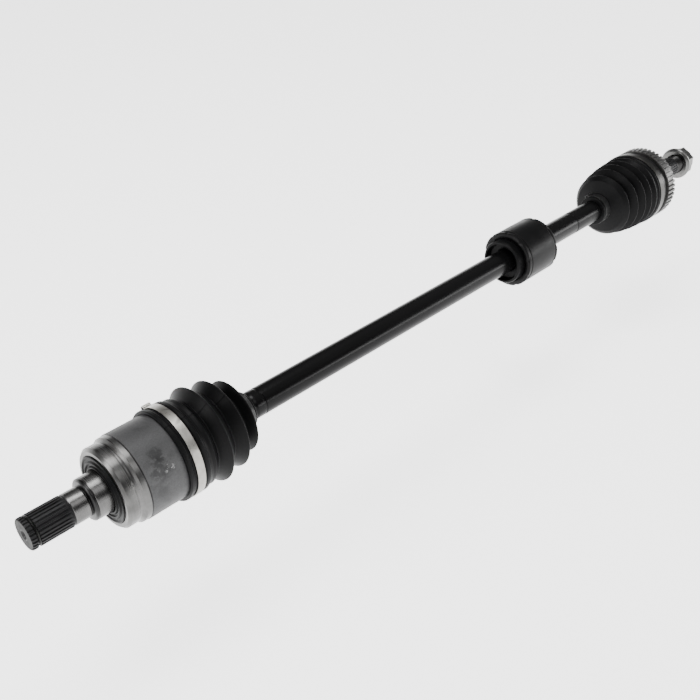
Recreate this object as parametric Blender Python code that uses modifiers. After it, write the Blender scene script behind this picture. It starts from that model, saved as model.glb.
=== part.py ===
"""A front drive axle: a solid bar with a plunging tripod joint at its inboard end and a
fixed ball joint at its outboard end, each sealed by a rubber boot.

The axle lies along X, with its inboard end at -X and the wheel end at +X. The origin is on
its centre line, half way along. Lengths below are millimetres, and every X is measured from
the inboard end face; place() turns them into metres.
"""

import math

import bmesh
import bpy
from mathutils import Euler, Matrix, Vector

MM = 0.001
LENGTH = 945.0
GAP = 0.3                      # between pieces that touch

BIG_STEPS = 20                 # facets round a large turned piece
SMALL_STEPS = 12               # facets round a slim one

# Bar
BAR_START, BAR_END = 95.0, 837.5
BAR_R = 12.5
SEAT_R = 12.0                  # under a boot's small end
NECK_R = 15.4                  # outside of a boot's small end
SMALL_EAR_H = 2.4              # ear of a small clamp

# Tripod joint
TRIPOD_X = 108.0               # centre of the three trunnions
TRUNNION_COUNT = 3
TRUNNION_R = 7.0
TRUNNION_TIP = 28.5            # from the axle's centre line
SPIDER_HALF = 10.0
SPIDER_BORE = 10.1
SPIDER_HUB_R = 13.5
ROLLER_AT = 20.0               # roller centre, from the axle's centre line
ROLLER_R = 14.5
ROLLER_HALF = 5.5
ROLLER_BORE = 10.1

# Inboard housing
HOUSING_R = 37.0
HOUSING_FACE = 66.0            # front annulus
HOUSING_MOUTH = 136.0
TULIP_FLOOR = 74.0
TRACK_R = 15.9                 # each roller track, round its roller
TULIP_CORE_R = 17.2            # middle of the three-lobed hollow
TULIP_LIMIT_R = 32.5
STUB_R = 13.2
STUB_ROOT_R = 12.1
STUB_TEETH = 26
STUB_SPLINE_END = 34.0
CIRCLIP_X = 6.0

# Ball joint
BALL_X = 822.0                 # centre of the ball joint
BALL_COUNT = 6
BALL_R = 7.2
BALL_AT = 28.5                 # ball centre, from the joint's centre
TRACK_TUBE_R = 9.2
INNER_RACE_R = 24.0
CAGE_IN_R, CAGE_OUT_R, CAGE_HALF = 26.5, 31.0, 12.5
RACE_HOLLOW_R = 32.2
RACE_R = 40.5
RACE_MOUTH = 806.0
RACE_SHOULDER = 866.0          # the face that meets the wheel bearing
TONE_X0, TONE_X1 = 826.8, 842.0
TONE_TEETH = 48
WHEEL_SPLINE_R, WHEEL_SPLINE_ROOT_R, WHEEL_TEETH = 12.4, 11.4, 26
THREAD_R = 11.0

# Nut
NUT_X0, NUT_X1 = 918.0, 938.0
NUT_FLANGE_R = 19.5
NUT_ACROSS_FLATS = 31.0

# Damper
DAMPER_X0, DAMPER_X1, DAMPER_R = 564.5, 616.0, 29.8

parts = bpy.data.collections.new("cv_axle")
cutters = bpy.data.collections.new("cutters")

COLOURS = {
    "black_rubber": ((0.022, 0.021, 0.020), 0.55, 0.0),
    "black_paint": ((0.015, 0.015, 0.016), 0.30, 0.0),
    "phosphated_steel": ((0.055, 0.055, 0.060), 0.55, 0.7),
    "machined_steel": ((0.52, 0.51, 0.49), 0.30, 1.0),
    "clamp_steel": ((0.60, 0.57, 0.52), 0.28, 1.0),
    "bearing_steel": ((0.62, 0.62, 0.63), 0.15, 1.0),
    "spring_steel": ((0.03, 0.03, 0.03), 0.45, 0.8),
    "black_clamp": ((0.04, 0.04, 0.04), 0.35, 0.6),
    "zinc_plated": ((0.68, 0.67, 0.64), 0.25, 1.0),
    "tone_steel": ((0.33, 0.32, 0.31), 0.45, 1.0),
}


def clear_scene():
    for obj in list(bpy.data.objects):
        bpy.data.objects.remove(obj, do_unlink=True)
    for collection in (parts, cutters):
        bpy.context.scene.collection.children.link(collection)


def material_of(node, kind):
    colour, roughness, metallic = COLOURS[kind]
    material = bpy.data.materials.new(node)
    material.use_nodes = True
    shader = material.node_tree.nodes["Principled BSDF"]
    shader.inputs["Base Color"].default_value = (*colour, 1.0)
    shader.inputs["Roughness"].default_value = roughness
    shader.inputs["Metallic"].default_value = metallic
    return material


def place(x, y=0.0, z=0.0):
    """A point in metres, from X along the axle and Y, Z off its centre line."""
    return Vector(((x - LENGTH / 2) * MM, y * MM, z * MM))


ALONG_AXLE = Euler((0.0, math.pi / 2, 0.0))    # local Z becomes world X


def add(name, mesh, kind=None, at=None, turn=None):
    """Links a mesh as a part, or as a cutter where no kind of material is given."""
    obj = bpy.data.objects.new(name, mesh)
    obj.location = at if at is not None else place(0.0)
    obj.rotation_euler = turn if turn is not None else ALONG_AXLE
    if kind:
        parts.objects.link(obj)
        mesh.materials.append(material_of(name, kind))
    else:
        cutters.objects.link(obj)
        obj.hide_render = True
        obj.display_type = "WIRE"
    return obj


def turned(name, outer, inner=(), kind=None, steps=BIG_STEPS, at=None, turn=None):
    """A turned piece. Both outlines are (height, radius) pairs that go up the local Z axis;
    a piece with no inner outline is solid, and its outer one starts and ends at radius 0."""
    loop = list(reversed(outer)) + list(inner)
    mesh = bpy.data.meshes.new(name)
    points = [(radius * MM, 0.0, height * MM) for height, radius in loop]
    edges = [(i, i + 1) for i in range(len(points) - 1)]
    if inner:
        edges.append((len(points) - 1, 0))
    mesh.from_pydata(points, edges, [])
    obj = add(name, mesh, kind, at, turn)
    screw = obj.modifiers.new("Turn", "SCREW")
    screw.steps = steps
    screw.render_steps = steps
    screw.use_merge_vertices = True
    screw.merge_threshold = 0.00005
    screw.use_smooth_shade = True
    return obj


def ring(name, x0, x1, inner_r, outer_r, kind=None, steps=BIG_STEPS, at=None, turn=None):
    outer = [(x0, outer_r), (x1, outer_r)]
    inner = [(x0, inner_r), (x1, inner_r)]
    return turned(name, outer, inner, kind, steps, at, turn)


def rod(name, x0, x1, radius, steps=BIG_STEPS, at=None, turn=None):
    outline = [(x0, 0.0), (x0, radius), (x1, radius), (x1, 0.0)]
    return turned(name, outline, steps=steps, at=at, turn=turn)


def mesh_from_curve(name, curve, at, turn):
    """Turns a curve into one welded mesh, and removes the curve."""
    guide = bpy.data.objects.new(name + "_curve", curve)
    cutters.objects.link(guide)
    bpy.context.view_layer.update()
    evaluated = guide.evaluated_get(bpy.context.evaluated_depsgraph_get())
    mesh = bpy.data.meshes.new_from_object(evaluated)
    mesh.name = name
    work = bmesh.new()
    work.from_mesh(mesh)
    bmesh.ops.remove_doubles(work, verts=work.verts, dist=0.00001)
    bmesh.ops.recalc_face_normals(work, faces=work.faces)
    work.to_mesh(mesh)
    work.free()
    mesh.materials.clear()
    bpy.data.objects.remove(guide, do_unlink=True)
    return mesh, at, turn


def extruded(name, loops, x0, x1, kind=None):
    """A flat outline across the axle, extruded from x0 to x1. Loops are (y, z) outlines, and
    a loop inside another makes a hole."""
    curve = bpy.data.curves.new(name, "CURVE")
    curve.dimensions = "2D"
    curve.fill_mode = "BOTH"
    curve.extrude = (x1 - x0) / 2 * MM
    for loop in loops:
        spline = curve.splines.new("POLY")
        spline.points.add(len(loop) - 1)
        for point, (y, z) in zip(spline.points, loop):
            point.co = (-z * MM, y * MM, 0.0, 1.0)
        spline.use_cyclic_u = True
    mesh, at, turn = mesh_from_curve(name, curve, place((x0 + x1) / 2), ALONG_AXLE)
    return add(name, mesh, kind, at, turn)


def snap_ring(name, x, centre_r, wire_r, gap_deg, gap_at_deg, kind="spring_steel"):
    """A round-wire ring round the axle, open over gap_deg, centred on gap_at_deg from +Y."""
    curve = bpy.data.curves.new(name, "CURVE")
    curve.dimensions = "3D"
    curve.bevel_depth = wire_r * MM
    curve.bevel_resolution = 1
    curve.use_fill_caps = True
    count = 17
    spline = curve.splines.new("POLY")
    spline.points.add(count - 1)
    for i, point in enumerate(spline.points):
        share = i / (count - 1)
        angle = math.radians(gap_at_deg + gap_deg / 2 + share * (360.0 - gap_deg))
        point.co = (0.0, centre_r * math.cos(angle) * MM, centre_r * math.sin(angle) * MM, 1.0)
    mesh, at, turn = mesh_from_curve(name, curve, place(x), Euler((0.0, 0.0, 0.0)))
    return add(name, mesh, kind, at, turn)


def boolean(obj, other, operation="DIFFERENCE"):
    modifier = obj.modifiers.new(operation.title(), "BOOLEAN")
    modifier.operation = operation
    modifier.object = other


def circle(radius, count):
    angles = [math.tau * i / count for i in range(count)]
    return [(radius * math.cos(angle), radius * math.sin(angle)) for angle in angles]


def toothed(root_r, tip_r, count, root_share=0.5, flank_share=0.12):
    """A closed outline of straight teeth: root, flank, tip, flank for each tooth."""
    stations = (
        (0.0, root_r),
        (root_share - flank_share, root_r),
        (root_share, tip_r),
        (1.0 - flank_share, tip_r),
    )
    outline = []
    for tooth in range(count):
        for share, radius in stations:
            angle = math.tau * (tooth + share) / count
            outline.append((radius * math.cos(angle), radius * math.sin(angle)))
    return outline


def radial_turn(angle):
    """Rotation that points local Z outwards from the axle, at an angle from +Y."""
    outward = Vector((0.0, math.cos(angle), math.sin(angle)))
    return Vector((0.0, 0.0, 1.0)).rotation_difference(outward).to_euler()


def arc(centre_x, radius, start_x, end_x, count):
    """Points on a sphere's outline, as (x, radius off the axle) pairs."""
    points = []
    for i in range(count):
        x = start_x + (end_x - start_x) * i / (count - 1)
        points.append((x, math.sqrt(radius**2 - (x - centre_x) ** 2)))
    return points


def trunnion_angles():
    return [math.radians(90.0 + 120.0 * i) for i in range(TRUNNION_COUNT)]


def ball_angles():
    return [math.radians(30.0 + 60.0 * i) for i in range(BALL_COUNT)]


def make_bar():
    race_face = BALL_X - 11.5
    outline = [
        (BAR_START, 0.0), (BAR_START, 9.0), (BAR_START + 0.6, 9.6),
        (96.2, 9.6), (96.2, 8.4), (97.8, 8.4), (97.8, 9.6), (118.4, 9.6),
        (118.4, 10.5), (150.0, 10.5), (188.0, SEAT_R), (208.0, SEAT_R), (210.0, BAR_R),
        (216.4, BAR_R), (217.0, BAR_R - 0.6), (218.6, BAR_R - 0.6), (219.2, BAR_R),
        (680.0, BAR_R), (680.4, BAR_R - 0.5), (681.8, BAR_R - 0.5), (682.2, BAR_R),
        (722.0, BAR_R), (724.0, SEAT_R), (race_face - 0.6, SEAT_R), (race_face - 0.6, 10.7),
        (834.2, 10.7), (834.2, 9.6), (835.8, 9.6), (835.8, 10.7), (836.9, 10.7),
        (BAR_END, 10.0), (BAR_END, 0.0),
    ]
    turned("shaft_bar", outline, kind="black_paint", steps=SMALL_STEPS)


def make_tripod():
    spider = ring(
        "tripod_spider", TRIPOD_X - SPIDER_HALF, TRIPOD_X + SPIDER_HALF,
        SPIDER_BORE, SPIDER_HUB_R, "bearing_steel",
    )
    groove, lip = TRUNNION_TIP - 2.4, TRUNNION_TIP - 1.1
    trunnion = [
        (11.5, 0.0), (11.5, TRUNNION_R), (groove, TRUNNION_R), (groove, 6.0), (lip, 6.0),
        (lip, TRUNNION_R), (TRUNNION_TIP, TRUNNION_R - 0.6), (TRUNNION_TIP, 0.0),
    ]
    roller_low, roller_high = ROLLER_AT - ROLLER_HALF, ROLLER_AT + ROLLER_HALF
    for number, angle in enumerate(trunnion_angles(), 1):
        at, turn = place(TRIPOD_X), radial_turn(angle)
        arm = turned(f"trunnion_{number}", trunnion, steps=SMALL_STEPS, at=at, turn=turn)
        boolean(spider, arm, "UNION")
        ring(
            f"needle_set_{number}", roller_low + 0.4, roller_high - 0.4,
            TRUNNION_R + 0.35, ROLLER_BORE - 0.4, "bearing_steel", SMALL_STEPS, at, turn,
        )
        turned(
            f"roller_{number}", arc(ROLLER_AT, ROLLER_R, roller_low, roller_high, 5),
            [(roller_low, ROLLER_BORE), (roller_high, ROLLER_BORE)],
            "bearing_steel", SMALL_STEPS, at, turn,
        )
        ring(
            f"roller_clip_{number}", groove + 0.25, lip - 0.25, 6.3, 8.8,
            "spring_steel", SMALL_STEPS, at, turn,
        )
    snap_ring("spider_snap_ring", 97.0, 9.45, 0.7, 40.0, 90.0)


def spline_cutter(name, root_r, tip_r, teeth, x0, x1):
    """The space between a spline's teeth, out past its tips."""
    return extruded(name, [circle(tip_r + 3.0, 32), toothed(root_r, tip_r + 0.4, teeth)], x0, x1)


def tulip_outline():
    """The three-lobed hollow: a round core, and round each roller a track."""
    count = 48
    outline = []
    for i in range(count):
        angle = math.tau * i / count
        radius = TULIP_CORE_R
        for lobe in trunnion_angles():
            off = math.atan2(math.sin(angle - lobe), math.cos(angle - lobe))
            sideways = ROLLER_AT * math.sin(off)
            if abs(off) < math.pi / 2 and abs(sideways) < TRACK_R:
                reach = ROLLER_AT * math.cos(off) + math.sqrt(TRACK_R**2 - sideways**2)
                radius = max(radius, min(reach, TULIP_LIMIT_R))
        outline.append((radius * math.cos(angle), radius * math.sin(angle)))
    return outline


def make_inboard_housing():
    groove0, groove1 = CIRCLIP_X - 1.05, CIRCLIP_X + 1.05
    outline = [
        (3.6, 0.0), (0.0, 4.4), (0.0, 11.3), (1.9, STUB_R),
        (groove0, STUB_R), (groove0, 11.1), (groove1, 11.1), (groove1, STUB_R),
        (STUB_SPLINE_END, STUB_R), (35.5, 13.0), (49.0, 13.0), (51.0, 16.9), (52.5, 17.75),
        (69.2, 17.75), (69.2, 28.9), (HOUSING_FACE, 28.9), (HOUSING_FACE, 32.6),
        (68.0, 34.2), (72.0, 33.4), (78.0, 33.7), (81.5, 35.8), (84.5, 36.2), (85.5, HOUSING_R),
        (HOUSING_MOUTH, HOUSING_R), (HOUSING_MOUTH, 0.0),
    ]
    housing = turned("inboard_housing", outline, kind="phosphated_steel")
    boolean(housing, extruded("tulip_hollow", [tulip_outline()], TULIP_FLOOR, HOUSING_MOUTH + 5.0))
    flare = [(118.0, 0.0), (118.0, 17.0), (142.0, 27.0), (142.0, 0.0)]
    boolean(housing, turned("tulip_flare", flare))
    boolean(housing, spline_cutter("stub_spline_gaps", STUB_ROOT_R, STUB_R, STUB_TEETH, -2.0, 33.0))
    snap_ring("inboard_circlip", CIRCLIP_X, 12.35, 0.8, 34.0, 225.0)


def make_dust_seal():
    """A flat ring in the housing's recess, with two raised lips on its front."""
    front = [
        (65.6, 26.8), (65.6, 24.4), (64.2, 23.6), (64.2, 22.6), (65.4, 21.8), (65.4, 20.4),
        (63.8, 19.6), (63.8, 18.3),
    ]
    outer = list(reversed(front)) + [(64.6, 27.6), (65.4, 28.3), (68.8, 28.3)]
    turned("dust_seal_ring", outer, [(68.8, 18.3)], "black_rubber")


def make_clamp(name, x0, x1, inner_r, ear_height=3.2, ear_deg=45.0, kind="clamp_steel"):
    """A band clamp with one crimped ear that stands off it, at ear_deg from +Y."""
    band = 1.0
    clamp = ring(name, x0, x1, inner_r, inner_r + band, kind)
    mesh = bpy.data.meshes.new(name + "_ear")
    work = bmesh.new()
    bmesh.ops.create_cube(work, size=1.0)
    ear_length, ear_width = 5.0, (x1 - x0) - 1.6
    bmesh.ops.scale(work, verts=work.verts, vec=(ear_length * MM, ear_width * MM, ear_height * MM))
    work.to_mesh(mesh)
    work.free()
    angle = math.radians(ear_deg)
    facet_middle = math.cos(math.pi / BIG_STEPS)
    reach = (inner_r + band * 0.5) * facet_middle + ear_height / 2
    at = place((x0 + x1) / 2, reach * math.cos(angle), reach * math.sin(angle))
    outward = Vector((0.0, math.cos(angle), math.sin(angle)))
    around = Vector((0.0, -math.sin(angle), math.cos(angle)))
    turn = Matrix((around, Vector((1.0, 0.0, 0.0)), outward)).transposed().to_euler()
    boolean(clamp, add(name + "_ear", mesh, at=at, turn=turn), "UNION")


def ridged(ridges, valleys):
    """Alternates the ridges and valleys of a bellows, each ridge with a small flat crest."""
    outline = []
    for (ridge_x, ridge_r), (valley_x, valley_r) in zip(ridges, valleys):
        outline += [(ridge_x - 1.2, ridge_r), (ridge_x + 1.2, ridge_r), (valley_x, valley_r)]
    return outline


def make_inboard_boot():
    outer = [(118.5, 39.6), (122.5, 39.6), (123.2, 38.9), (133.0, 38.9), (134.0, 39.2), (146.0, 37.2)]
    outer += [(149.0, 33.5)]
    outer += ridged(
        [(157.5, 42.5), (176.6, 39.3), (191.4, 32.4)],
        [(167.4, 31.5), (184.6, 24.5), (195.4, 16.6)],
    )
    outer += [(196.0, NECK_R), (204.4, NECK_R)]
    inner = [
        (118.5, HOUSING_R + GAP), (HOUSING_MOUTH + 1.0, HOUSING_R + GAP), (146.0, 33.0), (149.0, 30.5),
        (157.5, 39.5), (167.4, 28.8), (176.6, 36.3), (184.6, 21.8), (190.6, 29.2), (193.0, 15.0),
        (194.6, SEAT_R + 0.5), (204.4, SEAT_R + 0.5),
    ]
    turned("inboard_boot", outer, inner, "black_rubber")
    make_clamp("inboard_large_clamp", 123.6, 132.8, 38.9 + GAP)
    make_clamp("inboard_small_clamp", 196.8, 203.2, NECK_R + GAP, SMALL_EAR_H, kind="black_clamp")


def make_damper():
    weight_inner = 17.4
    weight = [
        (DAMPER_X0 + 2.5, 24.0), (DAMPER_X0, 24.6), (DAMPER_X0, 27.8),
        (DAMPER_X0 + 1.2, DAMPER_R), (DAMPER_X1 - 1.2, DAMPER_R), (DAMPER_X1, 27.8),
    ]
    turned(
        "damper_weight", weight, [(DAMPER_X0 + 2.5, weight_inner), (DAMPER_X1, weight_inner)],
        "black_paint",
    )
    sleeve_outer = [
        (DAMPER_X0 - 9.0, 22.4), (DAMPER_X0 - 8.2, 23.2), (DAMPER_X0 + 2.1, 23.2),
        (DAMPER_X0 + 2.2, 17.0), (DAMPER_X1 + 2.0, 17.0),
    ]
    sleeve_inner = [
        (DAMPER_X0 - 9.0, 20.4), (DAMPER_X0 - 1.0, 19.0), (DAMPER_X0 - 0.5, BAR_R + 0.4),
        (DAMPER_X1 + 2.0, BAR_R + 0.4),
    ]
    turned("damper_sleeve", sleeve_outer, sleeve_inner, "black_rubber")


def make_ball_joint():
    inner_race = turned(
        "inner_race", arc(BALL_X, INNER_RACE_R, BALL_X - 11.0, BALL_X + 11.0, 7),
        [(BALL_X - 11.0, 11.2), (BALL_X + 11.0, 11.2)], "bearing_steel",
    )
    race_shape = [
        (RACE_MOUTH, 33.6), (RACE_MOUTH, RACE_R - 0.6), (RACE_MOUTH + 0.8, RACE_R), (826.4, RACE_R),
        (826.4, 38.7), (842.6, 38.7), (843.4, 37.6), (850.0, 36.2), (858.0, 31.4), (863.5, 24.5),
        (RACE_SHOULDER, 22.0), (RACE_SHOULDER, 13.4), (868.5, WHEEL_SPLINE_R),
        (903.0, WHEEL_SPLINE_R), (905.5, 11.2), (907.0, THREAD_R), (943.6, THREAD_R),
        (LENGTH, 9.8), (LENGTH, 0.0),
    ]
    hollow_end = BALL_X + RACE_HOLLOW_R
    hollow = [(hollow_end, 0.0)]
    for i in range(1, 7):
        angle = math.radians(90.0 - 15.0 * i)
        hollow.append((BALL_X + RACE_HOLLOW_R * math.sin(angle), RACE_HOLLOW_R * math.cos(angle)))
    hollow.append((BALL_X - 8.0, 31.6))
    outer_race = turned("outer_race", hollow + race_shape, kind="machined_steel")
    for number in range(BALL_COUNT // 2):
        angle = ball_angles()[number]
        for race in (inner_race, outer_race):
            boolean(race, track_cutter(f"{race.name}_track_{number + 1}", angle))
    cage = turned(
        "ball_cage",
        arc(BALL_X, CAGE_OUT_R, BALL_X - CAGE_HALF, BALL_X + CAGE_HALF, 5),
        arc(BALL_X, CAGE_IN_R, BALL_X - CAGE_HALF, BALL_X + CAGE_HALF, 5),
        "bearing_steel",
    )
    centre = place(BALL_X)
    for number in range(BALL_COUNT // 2):
        turn = radial_turn(ball_angles()[number])
        boolean(cage, rod(f"cage_window_{number + 1}", -40.0, 40.0, BALL_R + 0.6, 12, centre, turn))
    for number, angle in enumerate(ball_angles(), 1):
        mesh = bpy.data.meshes.new(f"ball_{number}")
        work = bmesh.new()
        bmesh.ops.create_uvsphere(work, u_segments=12, v_segments=7, radius=BALL_R * MM)
        work.to_mesh(mesh)
        work.free()
        mesh.shade_smooth()
        at = place(BALL_X, BALL_AT * math.cos(angle), BALL_AT * math.sin(angle))
        add(f"ball_{number}", mesh, "bearing_steel", at)
    snap_ring("inner_race_clip", 835.0, 10.65, 0.7, 40.0, 90.0)
    spline = ("wheel_spline_gaps", WHEEL_SPLINE_ROOT_R, WHEEL_SPLINE_R, WHEEL_TEETH, 872.0, 906.0)
    boolean(outer_race, spline_cutter(*spline))


def track_cutter(name, angle):
    """A ring-shaped cutter that leaves a ball track on both sides of the joint."""
    across = Vector((0.0, -math.sin(angle), math.cos(angle)))
    turn = Vector((0.0, 0.0, 1.0)).rotation_difference(across).to_euler()
    bpy.ops.mesh.primitive_torus_add(
        major_segments=24, minor_segments=10,
        major_radius=BALL_AT * MM, minor_radius=TRACK_TUBE_R * MM,
    )
    made = bpy.context.active_object
    mesh = made.data
    bpy.data.objects.remove(made, do_unlink=True)
    return add(name, mesh, at=place(BALL_X), turn=turn)


def make_wheel_end():
    tone = [toothed(41.0, 43.0, TONE_TEETH, 0.45, 0.06), circle(38.7 + GAP, BIG_STEPS)]
    extruded("tone_ring", tone, TONE_X0, TONE_X1, "tone_steel")
    corner_r = NUT_ACROSS_FLATS / 2 / math.cos(math.pi / 6)
    nut = extruded("hub_nut", [circle(corner_r, 6)], NUT_X0 + 3.0, NUT_X1, "zinc_plated")
    flange = [
        (NUT_X0, 0.0), (NUT_X0, 17.0), (NUT_X0 + 1.6, NUT_FLANGE_R), (NUT_X0 + 3.4, NUT_FLANGE_R),
        (NUT_X0 + 5.4, 15.0), (NUT_X0 + 5.4, 0.0),
    ]
    boolean(nut, turned("nut_flange", flange), "UNION")
    boolean(nut, rod("nut_bore", NUT_X0 - 5.0, NUT_X1 + 5.0, THREAD_R + 0.4))


def make_outboard_boot():
    large_end_r = RACE_R + 1.3
    outer = [(728.0, 16.6), (730.5, 16.6), (731.5, NECK_R), (741.0, NECK_R), (742.5, 17.0)]
    outer += [(744.0, 22.0)]
    outer += ridged(
        [(750.5, 35.6), (764.0, 38.8), (777.5, 40.8), (789.5, 41.8), (800.0, 42.2)],
        [(757.5, 26.5), (771.0, 30.5), (784.0, 34.5), (795.0, 38.0), (805.0, large_end_r)],
    )
    outer += [(818.0, large_end_r)]
    inner = [
        (728.0, SEAT_R + 0.5), (742.5, SEAT_R + 0.5), (745.6, 18.0), (750.5, 32.4), (757.5, 23.7),
        (764.0, 35.6), (771.0, 27.7), (777.5, 37.8), (784.0, 31.7), (789.5, 38.8), (795.0, 35.2),
        (800.0, 39.2), (RACE_MOUTH - 1.2, RACE_R + GAP), (818.0, RACE_R + GAP),
    ]
    turned("outboard_boot", outer, inner, "black_rubber")
    make_clamp("outboard_small_clamp", 732.0, 740.6, NECK_R + GAP, SMALL_EAR_H, kind="black_clamp")
    make_clamp("outboard_large_clamp", 808.2, 816.8, large_end_r + GAP, ear_deg=-35.0)


clear_scene()
make_bar()
make_tripod()
make_inboard_housing()
make_dust_seal()
make_inboard_boot()
make_damper()
make_ball_joint()
make_wheel_end()
make_outboard_boot()
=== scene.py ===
"""The looks of a front drive axle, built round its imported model.

Sizes on the axle are millimetres, with X from the inboard end face, and station() turns such an X
into the frame's metres. Material spots, the floor, the lights and the camera are in metres.
"""

import math

import bmesh
import bpy
import numpy as np
from mathutils import Matrix, Vector


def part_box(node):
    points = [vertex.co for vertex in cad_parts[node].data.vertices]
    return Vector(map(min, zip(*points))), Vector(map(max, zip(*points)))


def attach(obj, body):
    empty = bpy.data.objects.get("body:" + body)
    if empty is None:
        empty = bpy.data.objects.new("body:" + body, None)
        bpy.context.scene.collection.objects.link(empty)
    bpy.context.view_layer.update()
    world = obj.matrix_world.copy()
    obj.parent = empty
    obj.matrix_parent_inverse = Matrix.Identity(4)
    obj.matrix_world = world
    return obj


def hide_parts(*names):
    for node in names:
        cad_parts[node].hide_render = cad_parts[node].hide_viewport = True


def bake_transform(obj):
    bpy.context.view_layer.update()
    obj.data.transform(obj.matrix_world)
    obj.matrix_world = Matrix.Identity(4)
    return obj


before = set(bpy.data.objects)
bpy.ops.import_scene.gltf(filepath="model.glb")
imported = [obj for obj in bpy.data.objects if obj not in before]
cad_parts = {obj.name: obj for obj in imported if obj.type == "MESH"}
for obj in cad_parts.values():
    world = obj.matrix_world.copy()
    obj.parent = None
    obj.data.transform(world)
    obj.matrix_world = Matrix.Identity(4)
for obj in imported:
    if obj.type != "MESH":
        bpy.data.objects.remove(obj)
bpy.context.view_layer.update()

MM = 0.001
AXLE_START_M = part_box("inboard_housing")[0].x
AXLE_END = 945.0
BALL_X = 822.0
BAR_R, BAR_SEAT_R = 12.5, 12.0
DAMPER_X0, DAMPER_X1, DAMPER_R = 564.5, 616.0, 29.8
STUB_R, WHEEL_STUB_R, STUB_TEETH = 13.2, 12.4, 26
TONE_X0, TONE_X1, TONE_R, TONE_BORE_R, TONE_TEETH = 826.8, 842.0, 43.0, 39.0, 48
THREAD_X0, THREAD_X1, THREAD_R, THREAD_PITCH = 907.4, 943.4, 11.0, 1.5
# The places within one tooth's pitch where a stub's skin has its lines of points.
TOOTH_SHARES = (0.0, 0.2, 0.4, 0.5, 0.7, 0.9)
SHARP_DEG = 32.0
TURN = math.tau

FLOOR_M = -0.16
FLOOR_GLOW = 2.4
WORLD_STRENGTH = 2.5
# The world's paleness at places up its height, from below to overhead.
SKY = ((0.15, 1.0), (0.28, 0.024), (0.42, 0.024), (0.78, 0.29))
CAMERA_LENS = 47.6
CAMERA_AT = (-0.636, -0.494, 0.487)
CAMERA_AIM = (0.579, 0.581, -0.574)


def station(x):
    """The frame's X in metres, for an X along the axle in millimetres."""
    return AXLE_START_M + x * MM


def on_axle(x, r, angle_deg):
    """A point in metres, r off the axle's centre line, at an angle from +Y."""
    angle = math.radians(angle_deg)
    return (station(x), r * math.cos(angle) * MM, r * math.sin(angle) * MM)


# ---------------------------------------------------------------- meshes

def rounded(points, arc_points=5):
    """Rounds a profile's corners. A point is (x, r), (x, r, fillet) or (x, r, fillet, zone); zone
    is the material slot from there to the next point that names one. Returns (x, r, zone) rows."""
    full = []
    zone = 0
    for point in points:
        x, r, fillet = (*point, 0.0)[:3]
        zone = point[3] if len(point) == 4 else zone
        full.append((np.array((x, r), float), fillet, zone))
    rows = []
    for i, (corner, fillet, zone) in enumerate(full):
        before_zone = full[i - 1][2] if i else zone
        if fillet <= 0.0 or i in (0, len(full) - 1):
            rows.append((corner[0], corner[1], zone))
            continue
        back, ahead = full[i - 1][0] - corner, full[i + 1][0] - corner
        back_length, ahead_length = np.linalg.norm(back), np.linalg.norm(ahead)
        back, ahead = back / back_length, ahead / ahead_length
        half = math.acos(np.clip(back @ ahead, -1.0, 1.0)) / 2
        if half > math.radians(88.0):
            rows.append((corner[0], corner[1], zone))
            continue
        trim = min(fillet / math.tan(half), 0.48 * back_length, 0.48 * ahead_length)
        start, end = corner + back * trim, corner + ahead * trim
        for step in range(arc_points + 1):
            t = step / arc_points
            spot = (1 - t) ** 2 * start + 2 * t * (1 - t) * corner + t**2 * end
            rows.append((spot[0], spot[1], zone if t >= 0.5 else before_zone))
    return rows


def even_angles(count):
    return np.arange(count) * TURN / count


def tooth_angles(count, shares):
    """The same few angles within each tooth, all the way round."""
    return np.array([TURN * (tooth + share) / count for tooth in range(count) for share in shares])


def with_extra(angles, centres, half_width, count=7):
    """Adds closely spaced angles round a few places that need fine detail."""
    extra = [np.linspace(c - half_width, c + half_width, count) for c in centres]
    merged = np.sort(np.concatenate([angles, *extra]) % TURN)
    return merged[np.r_[True, np.diff(merged) > 1e-5]]


def add_object(name, data):
    obj = bpy.data.objects.new(name, data)
    bpy.context.scene.collection.objects.link(obj)
    return obj


def finish_mesh(name, points, faces, materials, zones=None, sharp_deg=SHARP_DEG):
    """Makes an object of points in metres; zones holds each face's material slot."""
    mesh = bpy.data.meshes.new(name)
    mesh.from_pydata([tuple(p) for p in points], [], faces)
    for material in materials:
        mesh.materials.append(material)
    if zones is not None:
        mesh.polygons.foreach_set("material_index", zones)
    work = bmesh.new()
    work.from_mesh(mesh)
    bmesh.ops.remove_doubles(work, verts=work.verts, dist=2e-7)
    bmesh.ops.recalc_face_normals(work, faces=work.faces)
    work.to_mesh(mesh)
    work.free()
    mesh.shade_smooth()
    mesh.set_sharp_from_angle(angle=math.radians(sharp_deg))
    return add_object(name, mesh)


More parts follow.
